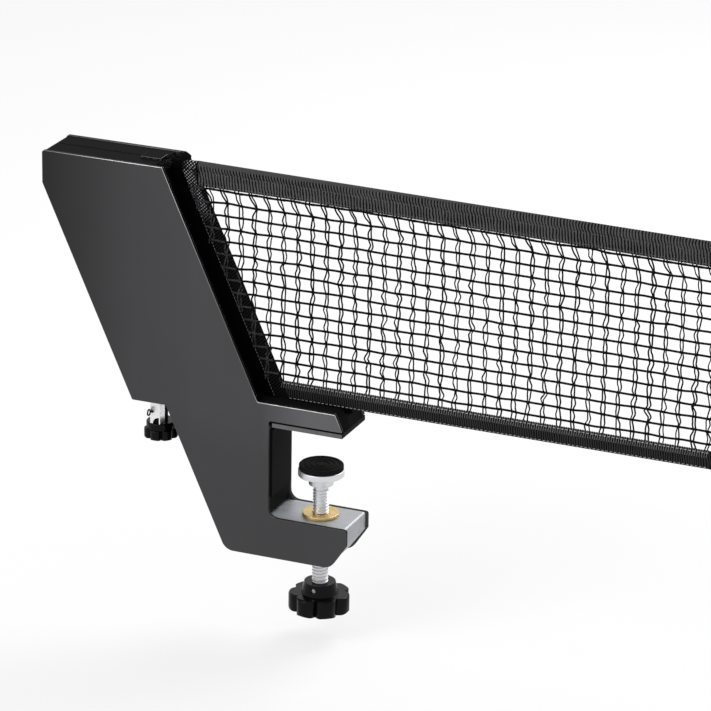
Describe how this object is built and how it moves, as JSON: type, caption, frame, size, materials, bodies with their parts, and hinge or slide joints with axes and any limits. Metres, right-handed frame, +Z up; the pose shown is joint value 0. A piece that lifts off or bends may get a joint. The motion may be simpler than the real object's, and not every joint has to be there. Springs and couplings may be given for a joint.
{
  "type": "table tennis net clamp",
  "caption": "Leaning steel-plate net post that clamps to a table edge, with a height-adjustable carrier and the end of its net",
  "frame": {"origin": "where the table's side edge, its top surface and the net line meet: on the underside of the foot pad, in the post's mid-plane, at the outer end of the foot", "axes": "+X inward over the table along the net, +Y along the table's side edge, +Z up"},
  "size_m": [0.432, 0.0374, 0.2723],
  "materials": {
    "plate_steel": "satin charcoal powder coat with bright worn edges",
    "foot_steel": "satin dark steel",
    "zinc": "bright zinc plate",
    "screw_steel": "plain steel, lightly oiled",
    "black_screw": "black oxide",
    "brass": "plain turned brass",
    "clamp_alloy": "satin die-cast alloy",
    "core_plastic": "fine-grained black moulding",
    "knob_plastic": "glossy black moulding",
    "pad_rubber": "black rubber",
    "tape_fabric": "black woven tape",
    "band_fabric": "charcoal ribbed band",
    "net_fabric": "black braided mesh",
    "cord_fabric": "black braided cord"
  },
  "bodies": {
    "post": {"front_plate": "plate_steel", "rear_plate": "plate_steel", "standoffs": "screw_steel", "plate_screws": "black_screw", "frame_block": "core_plastic", "foot_plate": "foot_steel", "foot_screws": "screw_steel", "foot_pad": "pad_rubber", "edge_buffer": "pad_rubber", "clamp_block": "clamp_alloy", "clamp_bush": "brass", "height_guide": "core_plastic", "height_bracket": "zinc", "bracket_screw": "black_screw"},
    "net_carrier": {"core_front": "core_plastic", "core_rear": "core_plastic", "core_screws": "screw_steel", "carrier_nut": "brass", "net_rod": "screw_steel", "rod_plug": "knob_plastic", "net_side_tape": "tape_fabric", "net_top_band": "band_fabric", "net_lower_tape": "tape_fabric", "net_mesh": "net_fabric", "net_cord": "cord_fabric", "cord_stop": "brass", "net_end_tape": "tape_fabric", "net_end_rod": "screw_steel"},
    "cord_grip": {"cord_lock": "knob_plastic"},
    "height_screw": {"height_stud": "screw_steel", "stud_collar": "screw_steel", "height_knob": "knob_plastic"},
    "clamp_pad": {"pad_cup": "zinc", "pad_rubber": "pad_rubber"},
    "clamp_screw": {"clamp_spindle": "zinc", "clamp_knob": "knob_plastic", "knob_pin": "screw_steel"}
  },
  "joints": [
    {"name": "height_knob_turn", "type": "hinge", "parent": "post", "child": "height_screw", "pos_m": [-0.08, 0, 0], "axis": [0, 0, 1], "range_deg": [-1543, 1543]},
    {"name": "net_height", "type": "slide", "parent": "post", "child": "net_carrier", "axis": [0, 0, 1], "range_m": [-0.003, 0.003]},
    {"name": "clamp_screw_turn", "type": "hinge", "parent": "clamp_pad", "child": "clamp_screw", "pos_m": [0.026, 0, 0], "axis": [0, 0, 1], "range_deg": [-3079, 2719]},
    {"name": "clamp_travel", "type": "slide", "parent": "post", "child": "clamp_pad", "axis": [0, 0, 1], "range_m": [-0.0171, 0.0151]},
    {"name": "cord_lock_slide", "type": "slide", "parent": "net_carrier", "child": "cord_grip", "axis": [-1, 0, 0], "range_m": [0, 0.005]}
  ],
  "couplings": [
    {"joint": "height_knob_turn", "follows": "net_height", "rad_per_m": -8976},
    {"joint": "clamp_screw_turn", "follows": "clamp_travel", "rad_per_m": 3141.6}
  ]
}
